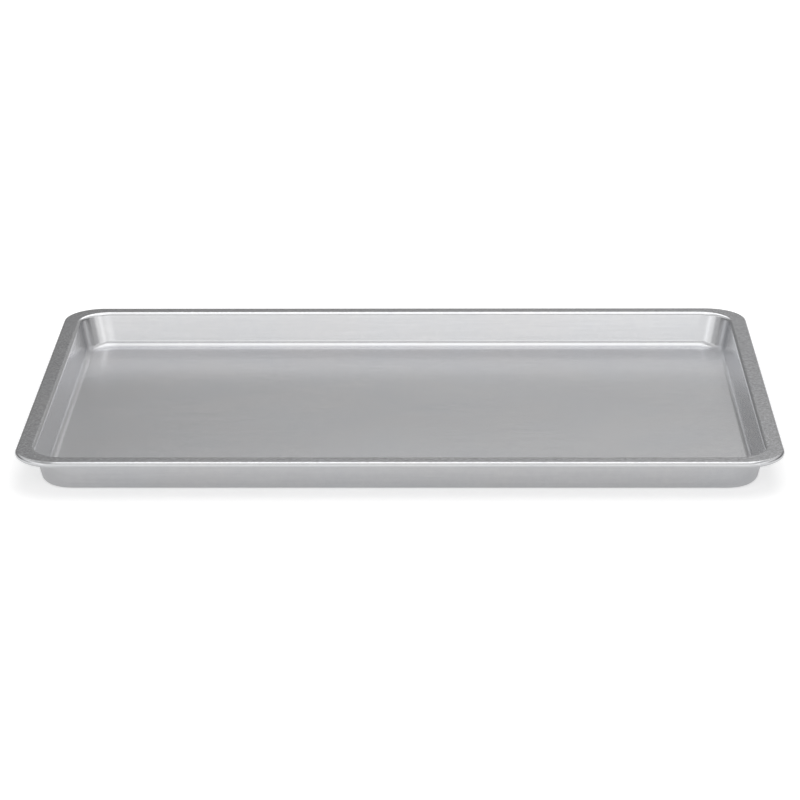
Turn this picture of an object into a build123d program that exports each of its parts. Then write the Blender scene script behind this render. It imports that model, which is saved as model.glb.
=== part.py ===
from build123d import *
import math
import os

# Jelly roll pan: a shallow tray pressed from one steel sheet, its flange rolled over a wire.
# Millimetres and degrees, +Z up, long side along X. The origin is the centre of the underside.

# Driving dimensions of the whole pan, measured over the rolled rim
pan_length = 420.0
pan_width = 285.0
pan_height = 20.5

# Sheet that everything but the wire is pressed from
sheet_thickness = 0.6

# Walls: they lean outwards by the draft, and the corner between two walls keeps one radius.
# Bend radii are those of the hollow side of the sheet, the corner radius that of the outer side.
wall_draft = 11.5
wall_corner_radius = 18.5
floor_bend_radius = 3.4
flange_bend_radius = 1.4

# Flange and rolled rim: the curl starts level at the flange's edge and turns out, down and back in
flange_flat_width = 7.0
rim_corner_radius = 23.9
curl_start_angle = 90.0
curl_turn = 300.0

# Wire inside the curl: its two cut ends butt together with a hairline joint.
# The hidden wire has flats instead of a true round, which keeps its long ring light.
wire_diameter = 2.0
wire_sides = 12
wire_clearance = 0.1
wire_joint_gap = 0.4

# Curl around the wire, and the line that both follow
wire_radius = wire_diameter / 2
curl_inner_radius = wire_radius + wire_clearance
curl_outer_radius = curl_inner_radius + sheet_thickness
curl_length = pan_length - 2 * curl_outer_radius
curl_width = pan_width - 2 * curl_outer_radius
curl_corner_radius = rim_corner_radius - curl_outer_radius
curl_height = pan_height - curl_outer_radius
flange_underside = pan_height - sheet_thickness

# Wall lines: how far each stands in from the outside of the rim, at the floor and at the mouth
draft_angle = math.radians(wall_draft)
draft_slope = math.tan(draft_angle)
level_thickness = sheet_thickness / math.cos(draft_angle)
mouth_bend_radius = flange_bend_radius + sheet_thickness
mouth_bend_run = mouth_bend_radius * math.tan((math.pi / 2 - draft_angle) / 2)
inner_mouth_inset = curl_outer_radius + flange_flat_width + mouth_bend_run
outer_mouth_inset = inner_mouth_inset - level_thickness
inner_floor_inset = inner_mouth_inset + flange_underside * draft_slope
outer_floor_inset = outer_mouth_inset + pan_height * draft_slope
hollow_corner_radius = wall_corner_radius - sheet_thickness
outer_bend_radius = floor_bend_radius + sheet_thickness

# Corners of the curl's centre line, anticlockwise from the back right
curl_corners = [
    (curl_length / 2, curl_width / 2),
    (-curl_length / 2, curl_width / 2),
    (-curl_length / 2, -curl_width / 2),
    (curl_length / 2, -curl_width / 2),
]


def leaning_block(inset, bottom, corner_radius, bend_radius):
    """Block up to the pan's top that widens upwards by the draft, its corners and base edge rounded.

    The inset says how far its base outline stands in from the outside of the rim.
    """
    base_plane = Plane.XY.offset(bottom)
    with BuildPart() as block:
        with BuildSketch(base_plane):
            Rectangle(pan_length - 2 * inset, pan_width - 2 * inset)
        extrude(amount=pan_height - bottom)
        draft(block.faces().filter_by(Axis.Z, reverse=True), base_plane, -wall_draft)
        fillet(block.edges().group_by(Axis.Z)[1], corner_radius)
        fillet(block.faces().sort_by(Axis.Z)[0].edges(), bend_radius)
    return block.part


# Outside of the pressing, and the space inside it: one sheet thickness in and up
pressing = leaning_block(outer_floor_inset, 0, wall_corner_radius, outer_bend_radius)
hollow = leaning_block(inner_floor_inset, sheet_thickness, hollow_corner_radius, floor_bend_radius)

# Tray, flange and curl: one pressed sheet
with BuildPart() as pan_body:
    # Flange: a flat sheet as wide as the curl's centre line, bent into the walls below it
    add(pressing)
    with BuildSketch(Plane.XY.offset(flange_underside)):
        RectangleRounded(curl_length, curl_width, curl_corner_radius)
    extrude(amount=sheet_thickness)
    flange_under = pan_body.faces().filter_by(Axis.Z).group_by(Axis.Z)[-2].sort_by(SortBy.AREA)[-1]
    fillet(flange_under.inner_wires().edges(), flange_bend_radius)
    add(hollow, mode=Mode.SUBTRACT)
    flange_top = pan_body.faces().filter_by(Axis.Z).sort_by(Axis.Z)[-1]
    fillet(flange_top.inner_wires().edges(), mouth_bend_radius)

    # Curl: a ring of sheet open towards the wall, carried once round the rim
    with BuildLine(Plane.XY.offset(curl_height)) as curl_line:
        FilletPolyline(*curl_corners, radius=curl_corner_radius, close=True)
    curl_start = curl_line.line @ 0
    along = curl_line.line % 0
    outward = along.cross(Vector(0, 0, 1))
    with BuildSketch(Plane(origin=curl_start, x_dir=outward, z_dir=-along)) as curl_section:
        with BuildLine():
            outer_arc = CenterArc((0, 0), curl_outer_radius, curl_start_angle, -curl_turn)
            inner_arc = CenterArc((0, 0), curl_inner_radius, curl_start_angle, -curl_turn)
            Line(outer_arc @ 0, inner_arc @ 0)
            Line(outer_arc @ 1, inner_arc @ 1)
        make_face()
    sweep(sections=curl_section.sketch, path=curl_line.line)
pan_body.part.label = "pan_body"

# Wire that stiffens the rim: one length bent round inside the curl, from a joint in the right end
with BuildPart() as rim_wire:
    with BuildLine(Plane.XY.offset(curl_height)) as wire_line:
        wire_start = (curl_length / 2, wire_joint_gap / 2)
        wire_end = (curl_length / 2, -wire_joint_gap / 2)
        FilletPolyline(wire_start, *curl_corners, wire_end, radius=curl_corner_radius)
    with BuildSketch(Plane(origin=wire_line.line @ 0, z_dir=wire_line.line % 0)) as wire_section:
        RegularPolygon(wire_radius, wire_sides)
    sweep(sections=wire_section.sketch, path=wire_line.line)
rim_wire.part.label = "rim_wire"

# One file for each piece
os.makedirs("parts", exist_ok=True)
for piece in (pan_body, rim_wire):
    export_step(piece.part, f"parts/{piece.part.label}.step")
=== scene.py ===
import math

import bpy
import numpy as np
from mathutils import Matrix


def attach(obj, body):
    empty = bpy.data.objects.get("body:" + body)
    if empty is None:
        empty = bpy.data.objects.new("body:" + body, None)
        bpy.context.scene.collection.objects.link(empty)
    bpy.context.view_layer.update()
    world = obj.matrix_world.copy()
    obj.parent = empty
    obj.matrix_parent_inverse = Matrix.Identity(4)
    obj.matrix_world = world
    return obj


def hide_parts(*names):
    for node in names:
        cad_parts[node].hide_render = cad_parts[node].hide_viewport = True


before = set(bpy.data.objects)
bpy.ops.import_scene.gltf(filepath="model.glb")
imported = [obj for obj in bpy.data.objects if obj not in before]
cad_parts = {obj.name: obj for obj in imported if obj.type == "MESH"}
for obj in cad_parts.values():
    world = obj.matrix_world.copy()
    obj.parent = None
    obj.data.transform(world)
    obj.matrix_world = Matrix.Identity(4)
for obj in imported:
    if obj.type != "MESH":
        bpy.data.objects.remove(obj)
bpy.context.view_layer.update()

# Looks of the jelly roll pan: the pressed sheet, the wire in its rim, their finishes, and the studio.
# Lengths of the pan are written in millimetres, as in the part's source, and turned to metres here.
MM = 0.001

# Sizes of the pan. They are the part's, but for the two bends and the flange's flat: the photographed
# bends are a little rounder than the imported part's (3.4, 1.4 and 7.0 there), and are made so here.
PAN_LENGTH = 420.0
PAN_WIDTH = 285.0
PAN_HEIGHT = 20.5
SHEET = 0.6
WALL_DRAFT = math.radians(11.5)
WALL_CORNER_RADIUS = 18.5
FLOOR_BEND_RADIUS = 4.2
FLANGE_BEND_RADIUS = 1.8
FLANGE_FLAT = 6.8
RIM_CORNER_RADIUS = 23.9
CURL_TURN = math.radians(300)
WIRE_RADIUS = 1.0
WIRE_CLEARANCE = 0.1
WIRE_JOINT_GAP = 0.4

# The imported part's round rim is cut in flats, so the smooth one here stands in by this much
FACET_TRIM = 0.005

# How finely the surfaces are divided
CORNER_STEPS = 36
LONG_SIDE_STEPS = 24
SHORT_SIDE_STEPS = 16
BEND_STEPS = 16
CURL_STEPS = 44
WIRE_STEPS = 20
FLOOR_RINGS = 12

# Edges sharper than this stay crisp, and the others are shaded smooth
SHARP_ANGLE = math.radians(40)


def rounded_route():
    """Once round a rounded rectangle, anticlockwise from the middle of the right side.

    Each point is a corner-circle centre plus the radius times (cos, sin) of the turn. The first two
    arrays say how far the centre lies towards each corner, from -1 to 1, the third is the turn.
    Along a side the centre slides and the turn stands still; round a corner it is the other way.
    """
    long_side = np.linspace(1, -1, LONG_SIDE_STEPS, endpoint=False)
    half_side = np.linspace(0, 1, SHORT_SIDE_STEPS // 2, endpoint=False)
    short_side = np.linspace(-1, 1, SHORT_SIDE_STEPS, endpoint=False)
    corner = np.linspace(0, math.pi / 2, CORNER_STEPS, endpoint=False)
    side_ones = np.ones(LONG_SIDE_STEPS)
    end_ones = np.ones(SHORT_SIDE_STEPS)
    half_ones = np.ones(SHORT_SIDE_STEPS // 2)
    corner_ones = np.ones(CORNER_STEPS)
    along_x = np.concatenate([
        half_ones, corner_ones, long_side, -corner_ones,
        -end_ones, -corner_ones, -long_side, corner_ones, half_ones,
    ])
    along_y = np.concatenate([
        half_side, corner_ones, side_ones, corner_ones,
        -short_side, -corner_ones, -side_ones, -corner_ones, half_side - 1,
    ])
    quarter = math.pi / 2
    turn = np.concatenate([
        0 * half_ones, corner, quarter * side_ones, quarter + corner,
        2 * quarter * end_ones, 2 * quarter + corner, 3 * quarter * side_ones, 3 * quarter + corner,
        4 * quarter * half_ones,
    ])
    return along_x, along_y, turn


def eased(start, stop, count):
    """Angles from start to stop, closer together at both ends.

    They follow half a cosine wave, so the first and last facets are tiny and the flat beside a bend
    keeps a flat shade.
    """
    half_wave = (1 - np.cos(np.linspace(0, math.pi, count + 1))) / 2
    return start + (stop - start) * half_wave


def arc(centre_inset, centre_height, radius, angles):
    """Points of a circle in the rim's section: inset grows inwards, height upwards.

    The angle is measured from straight outwards, and turns upwards.
    """
    return np.stack([centre_inset - radius * np.cos(angles), centre_height + radius * np.sin(angles)], 1)


def rim_rings(profile, route):
    """Carries a section of the rolled rim round the pan: every point makes one rounded rectangle.

    A point at inset s has the corner radius r that is left of the rim's own, and circles at
    half-length - s - r and half-width - s - r from the middle, plus r round the corner.
    """
    along_x, along_y, turn = route
    inset = profile[:, 0:1]
    radius = RIM_CORNER_RADIUS - inset
    x = along_x * (PAN_LENGTH / 2 - inset - radius) + radius * np.cos(turn)
    y = along_y * (PAN_WIDTH / 2 - inset - radius) + radius * np.sin(turn)
    z = profile[:, 1:2] + 0 * turn
    return np.stack([x, y, z], 2)


def wall_rings(distance, height, radius, shares, route):
    """Rings of a bend between a level sheet and the leaning walls.

    Two leaning walls meet in a round corner about a slanting axis. The bend's centre runs round the
    pan at the given height and at the given distance from that axis. From it each point lies the
    bend's radius away, in a direction that swings from straight down (share 0) to the way that the
    wall faces (share 1); a negative radius swings from straight up to the way into the pan.
    """
    along_x, along_y, turn = route
    lean = math.sin(WALL_DRAFT) * (np.abs(np.cos(turn)) + np.abs(np.sin(turn)))
    upright = math.cos(WALL_DRAFT)
    facing = np.stack([upright * np.cos(turn), upright * np.sin(turn), -lean], 1)
    facing /= np.linalg.norm(facing, axis=1)[:, None]
    axis_height = height - distance * facing[:, 2]
    axis_inset = outer_floor_inset + WALL_CORNER_RADIUS / upright - draft_slope * axis_height
    centre = distance * facing
    centre[:, 0] += along_x * (PAN_LENGTH / 2 - axis_inset)
    centre[:, 1] += along_y * (PAN_WIDTH / 2 - axis_inset)
    centre[:, 2] += axis_height
    down = np.array([0, 0, -1])
    opening = np.arccos(-facing[:, 2])[None, :, None]
    share = shares[:, None, None]
    swing = (np.sin((1 - share) * opening) * down + np.sin(share * opening) * facing) / np.sin(opening)
    return centre + radius * swing


def mesh_object(name, points, faces):
    """Puts points and faces into a mesh, shaded smooth except over its sharp edges."""
    mesh = bpy.data.meshes.new(name)
    mesh.from_pydata(points.tolist(), [], faces)
    mesh.polygons.foreach_set("use_smooth", np.ones(len(mesh.polygons), bool))
    mesh.set_sharp_from_angle(angle=SHARP_ANGLE)
    mesh.update()
    piece = bpy.data.objects.new(name, mesh)
    bpy.context.scene.collection.objects.link(piece)
    return piece


def keep_unbent(piece, places):
    """Keeps with each point where it lay before the sheet or wire was bent, for the finishes to follow."""
    unbent = piece.data.attributes.new("unbent", "FLOAT_VECTOR", "POINT")
    unbent.data.foreach_set("vector", (places.reshape(-1, 3) * MM).ravel())


def blank_places(skin, turn):
    """Where part of the skin lay in the flat blank, for rings listed from the floor's edge outwards.

    The length along the section is laid out level, square to the side that the point belongs to.
    """
    steps = np.linalg.norm(np.diff(skin, axis=0), axis=2)
    run = np.concatenate([np.zeros((1, skin.shape[1])), np.cumsum(steps, axis=0)])[:, :, None]
    outwards = np.stack([np.cos(turn), np.sin(turn), 0 * turn], 1)
    return skin[:1] + run * outwards


def ring_faces(rings, around):
    """Quads between neighbouring rings of points, each ring closed on itself."""
    first = (np.arange(rings - 1)[:, None] * around + np.arange(around)[None, :]).ravel()
    beside = (np.arange(rings - 1)[:, None] * around + (np.arange(around)[None, :] + 1) % around).ravel()
    return np.stack([first, first + around, beside + around, beside], 1)


# Section of the sheet, worked out as in the part's source
draft_slope = math.tan(WALL_DRAFT)
curl_inner_radius = WIRE_RADIUS + WIRE_CLEARANCE
curl_outer_radius = curl_inner_radius + SHEET
curl_height = PAN_HEIGHT - curl_outer_radius
curl_inset = curl_outer_radius + FACET_TRIM
mouth_bend_radius = FLANGE_BEND_RADIUS + SHEET
outer_bend_radius = FLOOR_BEND_RADIUS + SHEET
mouth_bend_run = mouth_bend_radius * math.tan((math.pi / 2 - WALL_DRAFT) / 2)
inner_mouth_inset = curl_outer_radius + FLANGE_FLAT + mouth_bend_run
outer_mouth_inset = inner_mouth_inset - SHEET / math.cos(WALL_DRAFT)
outer_floor_inset = outer_mouth_inset + PAN_HEIGHT * draft_slope


def build_pan():
    """The pressed sheet as one closed skin.

    Its section runs from the middle of the floor up the inside, over the flange, round the curl and
    back down the outside, and is carried once round the pan.
    """
    route = rounded_route()
    shares = eased(0, 1, BEND_STEPS)
    floor_centre = WALL_CORNER_RADIUS - outer_bend_radius
    mouth_centre = WALL_CORNER_RADIUS + FLANGE_BEND_RADIUS
    mouth_height = PAN_HEIGHT - mouth_bend_radius
    floor_bend = wall_rings(floor_centre, outer_bend_radius, FLOOR_BEND_RADIUS, shares, route)
    mouth_bend = wall_rings(mouth_centre, mouth_height, -mouth_bend_radius, shares[::-1], route)
    under_bend = wall_rings(mouth_centre, mouth_height, -FLANGE_BEND_RADIUS, shares, route)
    outer_floor_bend = wall_rings(floor_centre, outer_bend_radius, outer_bend_radius, shares[::-1], route)
    curl_angles = eased(math.pi / 2, math.pi / 2 - CURL_TURN, CURL_STEPS)
    curl_outside = arc(curl_inset, curl_height, curl_outer_radius, curl_angles)
    curl_inside = arc(curl_inset, curl_height, curl_inner_radius, curl_angles[::-1])
    curl_outside = rim_rings(curl_outside, route)
    curl_inside = rim_rings(curl_inside, route)

    # Floor rings shrink towards one point in the middle of each side of the sheet
    shrink = np.linspace(0, 1, FLOOR_RINGS, endpoint=False)[1:, None, None]
    inwards = np.array([1, 1, 0])
    floor_top = floor_bend[:1] * (inwards * shrink + 1 - inwards)
    floor_under = outer_floor_bend[-1:] * (inwards * shrink[::-1] + 1 - inwards)
    inside = np.concatenate([floor_bend, mouth_bend, curl_outside])
    outside = np.concatenate([curl_inside, under_bend, outer_floor_bend])
    skin = np.concatenate([floor_top, inside, outside, floor_under])
    rings, around = skin.shape[:2]
    middle_top = rings * around
    middle_under = middle_top + 1
    middles = [[0, 0, SHEET], [0, 0, 0]]
    points = np.concatenate([skin.reshape(-1, 3), middles])
    here = np.arange(around)
    ahead = (here + 1) % around
    last = (rings - 1) * around
    top_fan = np.stack([np.full(around, middle_top), here, ahead], 1)
    under_fan = np.stack([np.full(around, middle_under), last + ahead, last + here], 1)
    quads = ring_faces(rings, around)
    faces = quads.tolist() + top_fan.tolist() + under_fan.tolist()
    piece = mesh_object("pressed_pan", points * MM, faces)
    outside_blank = blank_places(outside[::-1], route[2])[::-1]
    blank = np.concatenate([floor_top, blank_places(inside, route[2]), outside_blank, floor_under])
    keep_unbent(piece, np.concatenate([blank.reshape(-1, 3), middles]))
    return piece


def build_wire():
    """The round wire in the curl, bent once round the pan from a butt joint in its right end.

    A circle of the wire's radius is carried along the curl's centre line, from one side of the joint
    to the other, and each cut end is a flat face.
    """
    route = rounded_route()
    centre_line = rim_rings(np.array([[curl_inset, curl_height]]), route)[0]
    centre_line = np.concatenate([centre_line, centre_line[:1]])
    centre_line[0, 1] = WIRE_JOINT_GAP / 2
    centre_line[-1, 1] = -WIRE_JOINT_GAP / 2
    turn = np.append(route[2], 2 * math.pi)
    outward = np.stack([np.cos(turn), np.sin(turn), 0 * turn], 1)[:, None, :]
    upward = np.array([0, 0, 1])
    angles = np.linspace(0, 2 * math.pi, WIRE_STEPS, endpoint=False)[None, :, None]
    tube = centre_line[:, None, :] + WIRE_RADIUS * (np.cos(angles) * outward + np.sin(angles) * upward)
    rings = len(tube)
    first_end = np.arange(WIRE_STEPS)
    last_end = first_end[::-1] + (rings - 1) * WIRE_STEPS
    faces = ring_faces(rings, WIRE_STEPS).tolist() + [first_end.tolist(), last_end.tolist()]
    piece = mesh_object("rim_wire_round", tube.reshape(-1, 3) * MM, faces)

    # The same points on the straight wire: length along X, the circle across it
    steps = np.linalg.norm(np.diff(centre_line, axis=0), axis=1)
    length = np.concatenate([[0], np.cumsum(steps)])[:, None]
    side = WIRE_RADIUS * np.cos(angles[..., 0])
    rise = WIRE_RADIUS * np.sin(angles[..., 0])
    keep_unbent(piece, np.stack(np.broadcast_arrays(length, side, rise), 2))
    return piece


pan = build_pan()
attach(pan, "root")
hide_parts("pan_body")

wire = build_wire()
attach(wire, "root")
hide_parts("rim_wire")


def linear(hex_colour):
    """An sRGB hex colour as the linear red, green, blue and alpha that the shader takes."""
    parts = [int(hex_colour[i:i + 2], 16) / 255 for i in (0, 2, 4)]
    return [c / 12.92 if c <= 0.04045 else ((c + 0.055) / 1.055) ** 2.4 for c in parts] + [1.0]


def add_node(tree, kind, inputs=None, **settings):
    """Adds a shader node. Settings are its properties; inputs are values, or sockets to link from."""
    node = tree.nodes.new(kind)
    for name, value in settings.items():
        setattr(node, name, value)
    for name, value in (inputs or {}).items():
        if isinstance(value, bpy.types.NodeSocket):
            tree.links.new(value, node.inputs[name])
        else:
            node.inputs[name].default_value = value
    return node


def new_material(name):
    """An empty node material and its tree."""
    material = bpy.data.materials.new(name)
    material.use_nodes = True
    material.node_tree.nodes.clear()
    return material, material.node_tree


# Patterns of the metals, as sizes in millimetres. A line has its length, then its pitch.
SPANGLE = 3.5
BLOTCHES = 45.0
GRAIN = 0.9
RUB_FLECKS = 1.6
WAVES = 75.0
FILM_PATCHES = 3.5
ROLLING_LINE = (40.0, 1.6)
DRAWING_LINE = (30.0, 0.35)

# How far their peaks stand above their hollows, in millimetres
WAVE_RISE = 0.25
ROLLING_RISE = 0.006
GRAIN_RISE = 0.006
DRAWING_RISE = 0.004

# Values between which a noise does most of its swinging
NOISE_SWING = (0.3, 0.7)
FLECK_SWING = (0.35, 0.65)
TONE_SWING = (0.33, 0.67)

# Heights between which the floor's skin turns into the walls', the walls' into the rim's, and the
# rim's into the rubbed top of the flange and bead
WALL_HEIGHTS = (1.0 * MM, 5.0 * MM)
RIM_HEIGHTS = (18.0 * MM, 20.0 * MM)
FLANGE_HEIGHTS = (20.25 * MM, 20.48 * MM)

# How rough each skin is, and how strongly its lines and grain stand out
FLOOR_ROUGHNESS = 0.25
WALL_ROUGHNESS = 0.215
RIM_ROUGHNESS = 0.18
FLOOR_RELIEF = 0.45
WALL_RELIEF = 0.95
RIM_RELIEF = 0.35

# What the spangle adds to the sheet's roughness, how dark and pale the rubbed flecks are against the
# sheet, and how rough the wire is where its film is thin and thick
SPANGLE_ROUGHNESS = (-0.008, 0.008)
FLECK_SHADES = (0.78, 1.1)
WIRE_ROUGHNESS = (0.28, 0.4)


def noise(tree, place, size, detail, roughness):
    """Even noise whose flecks are about that many millimetres across."""
    return add_node(tree, "ShaderNodeTexNoise", {
        "Vector": place, "Scale": 1 / (size * MM), "Detail": detail, "Roughness": roughness,
    }).outputs["Fac"]


def drawn_out(tree, place, sizes, detail):
    """Noise drawn out into lines: the first size is their length, the second their pitch."""
    length, pitch = sizes
    stretched = add_node(tree, "ShaderNodeVectorMath", {
        0: place, 1: (1 / (length * MM), 1 / (pitch * MM), 1 / (pitch * MM)),
    }, operation="MULTIPLY")
    return add_node(tree, "ShaderNodeTexNoise", {
        "Vector": stretched.outputs[0], "Scale": 1.0, "Detail": detail, "Roughness": 0.6,
    }).outputs["Fac"]


def ranged(tree, value, source, target, interpolation="LINEAR"):
    """A value carried from one range to another, and held at its ends."""
    return add_node(tree, "ShaderNodeMapRange", {
        "Value": value, "From Min": source[0], "From Max": source[1],
        "To Min": target[0], "To Max": target[1],
    }, interpolation_type=interpolation).outputs[0]


def toned(tree, value, dark, pale):
    """Colour of a noise, from dark in its hollows to pale on its peaks."""
    ramp = add_node(tree, "ShaderNodeValToRGB", {"Fac": value})
    ramp.color_ramp.elements[0].position = TONE_SWING[0]
    ramp.color_ramp.elements[0].color = linear(dark)
    ramp.color_ramp.elements[1].position = TONE_SWING[1]
    ramp.color_ramp.elements[1].color = linear(pale)
    return ramp.outputs["Color"]


def multiplied(tree, first, second):
    """Two colours multiplied."""
    return add_node(tree, "ShaderNodeVectorMath", {0: first, 1: second}, operation="MULTIPLY").outputs[0]


def added(tree, first, second):
    """Two values added."""
    return add_node(tree, "ShaderNodeMath", {0: first, 1: second}, operation="ADD").outputs[0]


def raised(tree, height, distance, normal=None, strength=1.0):
    """Normal of a bumpy skin whose peaks stand that many millimetres above its hollows."""
    inputs = {"Height": height, "Strength": strength, "Distance": distance * MM}
    if normal is not None:
        inputs["Normal"] = normal
    return add_node(tree, "ShaderNodeBump", inputs).outputs[0]


def aluminised_steel():
    """Steel strip hot-dipped in aluminium and silicon, skin-rolled, then pressed.

    The eye gets a fine spangle in tone and gloss, rolling lines along the strip that turn up with
    the walls, a slight cool drift, and a floor not quite flat. The floor only touched the punch, so
    its grain is faint. The walls slid through the die and show theirs more. The rim was pressed
    flat and rubbed, so it is the glossiest, and its top is flecked. The real rolling lines are
    about 0.3 mm apart, too fine for a picture of the whole pan, so they are drawn coarser.
    """
    material, tree = new_material("aluminised_steel")
    place = add_node(tree, "ShaderNodeTexCoord").outputs["Object"]
    unbent = add_node(tree, "ShaderNodeAttribute", attribute_name="unbent").outputs["Vector"]
    height = add_node(tree, "ShaderNodeSeparateXYZ", {"Vector": place}).outputs["Z"]
    spangle = noise(tree, place, SPANGLE, detail=4.0, roughness=0.6)
    drift = noise(tree, place, BLOTCHES, detail=1.0, roughness=0.5)
    grain = noise(tree, place, GRAIN, detail=2.0, roughness=0.6)
    waves = noise(tree, place, WAVES, detail=0.0, roughness=0.5)
    rubs = noise(tree, place, RUB_FLECKS, detail=3.0, roughness=0.7)
    lines = drawn_out(tree, unbent, ROLLING_LINE, detail=3.0)

    drift_tone = toned(tree, drift, "fcfdff", "fefeff")
    tone = multiplied(tree, toned(tree, spangle, "dcdcdd", "e0e0e0"), drift_tone)
    tone = multiplied(tree, tone, toned(tree, lines, "fbfbfb", "ffffff"))
    flecks = ranged(tree, rubs, FLECK_SWING, FLECK_SHADES)
    shade = ranged(tree, height, FLANGE_HEIGHTS, (1.0, flecks))
    rubbed = add_node(tree, "ShaderNodeVectorMath", {0: tone, "Scale": shade}, operation="SCALE")

    gloss = ranged(tree, height, WALL_HEIGHTS, (FLOOR_ROUGHNESS, WALL_ROUGHNESS), "SMOOTHSTEP")
    gloss = added(tree, gloss, ranged(tree, height, RIM_HEIGHTS, (0.0, RIM_ROUGHNESS - WALL_ROUGHNESS)))
    gloss = added(tree, gloss, ranged(tree, spangle, NOISE_SWING, SPANGLE_ROUGHNESS))

    relief = ranged(tree, height, WALL_HEIGHTS, (FLOOR_RELIEF, WALL_RELIEF), "SMOOTHSTEP")
    relief = ranged(tree, height, RIM_HEIGHTS, (relief, RIM_RELIEF))
    skin = raised(tree, waves, WAVE_RISE)
    skin = raised(tree, lines, ROLLING_RISE, skin, relief)
    skin = raised(tree, grain, GRAIN_RISE, skin, relief)
    surface = add_node(tree, "ShaderNodeBsdfPrincipled", {
        "Base Color": rubbed.outputs[0], "Metallic": 1.0, "Roughness": gloss, "Normal": skin,
    })
    add_node(tree, "ShaderNodeOutputMaterial", {"Surface": surface.outputs["BSDF"]})
    return material


def drawn_wire():
    """Low-carbon steel wire pulled bright through a die, darker than the coated sheet.

    The eye gets fine lines along the wire, which bend with it, and a mottled thin film of drawing
    soap that dulls it in patches.
    """
    material, tree = new_material("drawn_steel_wire")
    place = add_node(tree, "ShaderNodeTexCoord").outputs["Object"]
    unbent = add_node(tree, "ShaderNodeAttribute", attribute_name="unbent").outputs["Vector"]
    film = noise(tree, place, FILM_PATCHES, detail=3.0, roughness=0.6)
    lines = drawn_out(tree, unbent, DRAWING_LINE, detail=2.0)
    film_tone = toned(tree, film, "b0aeab", "bbbab8")
    line_tone = toned(tree, lines, "efefef", "ffffff")
    surface = add_node(tree, "ShaderNodeBsdfPrincipled", {
        "Base Color": multiplied(tree, film_tone, line_tone), "Metallic": 1.0,
        "Roughness": ranged(tree, film, NOISE_SWING, WIRE_ROUGHNESS),
        "Normal": raised(tree, lines, DRAWING_RISE),
    })
    add_node(tree, "ShaderNodeOutputMaterial", {"Surface": surface.outputs["BSDF"]})
    return material


steel = aluminised_steel()
wire_steel = drawn_wire()
pan.data.materials.append(steel)
wire.data.materials.append(wire_steel)
finishes = {"pan_body": steel, "rim_wire": wire_steel}
for name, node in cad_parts.items():
    node.data.materials.clear()
    node.data.materials.append(finishes[name])


# Camera of the photograph: its place and reach in metres, how it is aimed, and the focal length of its
# lens and width of its sensor in millimetres
CAMERA_PLACE = (0.026457, -1.765817, 0.605647)
CAMERA_REACH = 50
CAMERA_PITCH = math.radians(18.6937)
CAMERA_YAW = math.radians(0.8983)
CAMERA_ROLL = math.radians(-0.3051)
CAMERA_LENS = 144.17
CAMERA_SENSOR = 36


def aimed(place, pitch, yaw, roll):
    """Camera matrix: looks along +Y, turned left by the yaw, down by the pitch, then rolled."""
    ahead = np.array([-math.sin(yaw) * math.cos(pitch), math.cos(yaw) * math.cos(pitch), -math.sin(pitch)])
    right = np.array([math.cos(yaw), math.sin(yaw), 0])
    up = np.cross(right, ahead)
    rolled_right = math.cos(roll) * right + math.sin(roll) * up
    rolled_up = -math.sin(roll) * right + math.cos(roll) * up
    matrix = np.eye(4)
    matrix[:3, 0] = rolled_right
    matrix[:3, 1] = rolled_up
    matrix[:3, 2] = -ahead
    matrix[:3, 3] = place
    return Matrix(matrix.tolist())


camera_data = bpy.data.cameras.new("camera")
camera_data.lens = CAMERA_LENS
camera_data.sensor_width = CAMERA_SENSOR
camera_data.clip_end = CAMERA_REACH
camera = bpy.data.objects.new("camera", camera_data)
camera.matrix_world = aimed(CAMERA_PLACE, CAMERA_PITCH, CAMERA_YAW, CAMERA_ROLL)
bpy.context.scene.collection.objects.link(camera)
bpy.context.scene.camera = camera


# Soft light of the studio, as radiances: 1 is the white of the background. Low down the room differs
# from left to right, and far to the right it keeps only a share of the right's light.
ROOM_LEFT = 0.24
ROOM_RIGHT = 0.39
FAR_RIGHT_SHARE = 0.5
UPPER_ROOM = 0.76
ZENITH = 0.42
OVERHEAD = 0.97
FRONT_CARD = 0.75

# Where the room changes, by how far a direction points to the right or up, from -1 to 1
LEFT_TO_RIGHT = (-0.2, 0.2)
RIGHT_TO_FAR_RIGHT = (0.3, 0.6)
LOW_TO_UPPER = (0.3, 0.6)
UPPER_TO_ZENITH = (0.65, 0.95)

# Places of the lights in metres, and their sizes, across and then up or along
OVERHEAD_PLACE = (0.12, 0.8, 1.2)
OVERHEAD_SIZE = (1.0, 2.8)
FRONT_CARD_PLACE = (0, -2.2, 0.6)
FRONT_CARD_SIZE = (3.2, 1.2)

# The side cards are feathered: each strip, from the front one back, is this bright. Each strip is as
# wide and high as given, and stands that far out and high up, the front one at that Y, in metres.
SIDE_STRIPS = (1.05, 0.75, 0.28)
SIDE_STRIP_SIZE = (0.8, 1.2)
SIDE_CARD_REACH = 1.6
SIDE_CARD_HEIGHT = 0.6
FRONT_STRIP_Y = -1.8


def softbox(name, place, facing, size, radiance):
    """A rectangular soft light of that radiance, upright or level, that faces the given way.

    A rectangle that shines evenly gives off pi times its area times its radiance.
    """
    width, height = size
    light = bpy.data.lights.new(name, "AREA")
    light.shape = "RECTANGLE"
    light.size = width
    light.size_y = height
    light.energy = math.pi * width * height * radiance
    back = -np.array(facing, float)
    across = np.cross([0, 1, 0] if facing[2] else [0, 0, 1], back)
    matrix = np.eye(4)
    matrix[:3, 0] = across
    matrix[:3, 1] = np.cross(back, across)
    matrix[:3, 2] = back
    matrix[:3, 3] = place
    lamp = bpy.data.objects.new(name, light)
    lamp.matrix_world = Matrix(matrix.tolist())
    lamp.visible_camera = False
    bpy.context.scene.collection.objects.link(lamp)


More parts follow.
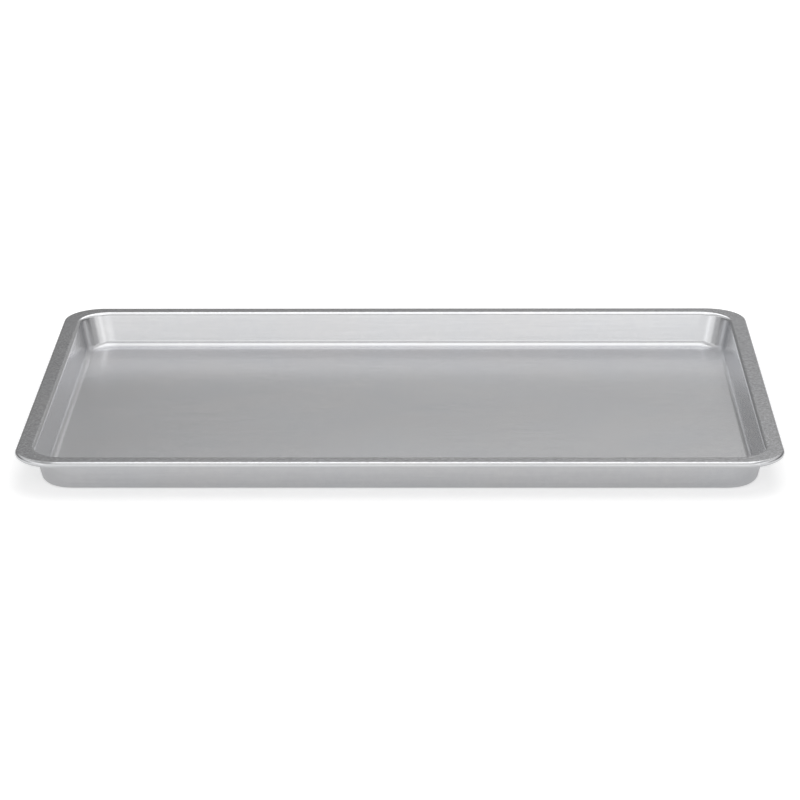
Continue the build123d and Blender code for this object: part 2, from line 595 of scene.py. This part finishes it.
softbox("overhead_softbox", OVERHEAD_PLACE, (0, 0, -1), OVERHEAD_SIZE, OVERHEAD)
softbox("front_card", FRONT_CARD_PLACE, (0, 1, 0), FRONT_CARD_SIZE, FRONT_CARD)
for strip, radiance in enumerate(SIDE_STRIPS):
    strip_y = FRONT_STRIP_Y + strip * SIDE_STRIP_SIZE[0]
    left_place = (-SIDE_CARD_REACH, strip_y, SIDE_CARD_HEIGHT)
    right_place = (SIDE_CARD_REACH, strip_y, SIDE_CARD_HEIGHT)
    softbox(f"left_card_{strip}", left_place, (1, 0, 0), SIDE_STRIP_SIZE, radiance)
    softbox(f"right_card_{strip}", right_place, (-1, 0, 0), SIDE_STRIP_SIZE, radiance)


def studio_world():
    """A soft room, dim low down, palest half-way up, dimmer straight above, white for the camera."""
    world = bpy.data.worlds.new("studio")
    bpy.context.scene.world = world
    world.use_nodes = True
    tree = world.node_tree
    tree.nodes.clear()
    place = add_node(tree, "ShaderNodeTexCoord")
    way = add_node(tree, "ShaderNodeSeparateXYZ", {"Vector": place.outputs["Generated"]})
    rightwards = way.outputs["X"]
    upwards = way.outputs["Z"]
    near_room = ranged(tree, rightwards, LEFT_TO_RIGHT, (ROOM_LEFT, ROOM_RIGHT), "SMOOTHSTEP")
    far_share = ranged(tree, rightwards, RIGHT_TO_FAR_RIGHT, (1.0, FAR_RIGHT_SHARE), "SMOOTHSTEP")
    low_room = add_node(tree, "ShaderNodeMath", {0: near_room, 1: far_share}, operation="MULTIPLY")
    high_room = ranged(tree, upwards, UPPER_TO_ZENITH, (UPPER_ROOM, ZENITH), "SMOOTHSTEP")
    room = ranged(tree, upwards, LOW_TO_UPPER, (low_room.outputs[0], high_room), "SMOOTHSTEP")
    path = add_node(tree, "ShaderNodeLightPath")
    soft = add_node(tree, "ShaderNodeBackground", {"Color": linear("ffffff"), "Strength": room})
    white = add_node(tree, "ShaderNodeBackground", {"Color": linear("ffffff"), "Strength": 1.0})
    mixed = add_node(tree, "ShaderNodeMixShader", {
        0: path.outputs["Is Camera Ray"], 1: soft.outputs[0], 2: white.outputs[0],
    })
    add_node(tree, "ShaderNodeOutputWorld", {"Surface": mixed.outputs[0]})


studio_world()


# What the paper glows with for the camera, and in reflections, as radiances
PAPER_GLOW = 0.5
PAPER_REFLECTED_GLOW = 0.2


def table_paper():
    """Matt white paper that keeps the pan's shadow.

    The studio light alone leaves it under white. So it also glows, enough for the camera to see it
    white with a pale shadow, and less in the metal's reflections.
    """
    material, tree = new_material("white_paper")
    path = add_node(tree, "ShaderNodeLightPath")
    matt = add_node(tree, "ShaderNodeBsdfDiffuse", {"Color": linear("e1e1e1")})
    reflected = add_node(tree, "ShaderNodeMath", {
        0: path.outputs["Is Glossy Ray"], 1: PAPER_REFLECTED_GLOW,
    }, operation="MULTIPLY")
    lift = add_node(tree, "ShaderNodeMath", {
        0: path.outputs["Is Camera Ray"], 1: PAPER_GLOW, 2: reflected.outputs[0],
    }, operation="MULTIPLY_ADD")
    glow = add_node(tree, "ShaderNodeEmission", {"Color": linear("ffffff"), "Strength": lift.outputs[0]})
    both = add_node(tree, "ShaderNodeAddShader", {0: matt.outputs[0], 1: glow.outputs[0]})
    add_node(tree, "ShaderNodeOutputMaterial", {"Surface": both.outputs[0]})
    return material


# The paper ends just before the side cards, because what lies behind them gets none of their light
# and looks grey. It lies a hair under the pan.
PAPER_HALF = 1.58
PAPER_DROP = 0.0001
paper_corners = np.array([[-1, -1, 0], [1, -1, 0], [1, 1, 0], [-1, 1, 0]]) * PAPER_HALF
paper_corners[:, 2] = -PAPER_DROP
paper = mesh_object("paper_floor", paper_corners, [(0, 1, 2, 3)])
paper.data.materials.append(table_paper())

# Standard view, so a colour renders about as it is written
bpy.context.scene.view_settings.view_transform = "Standard"
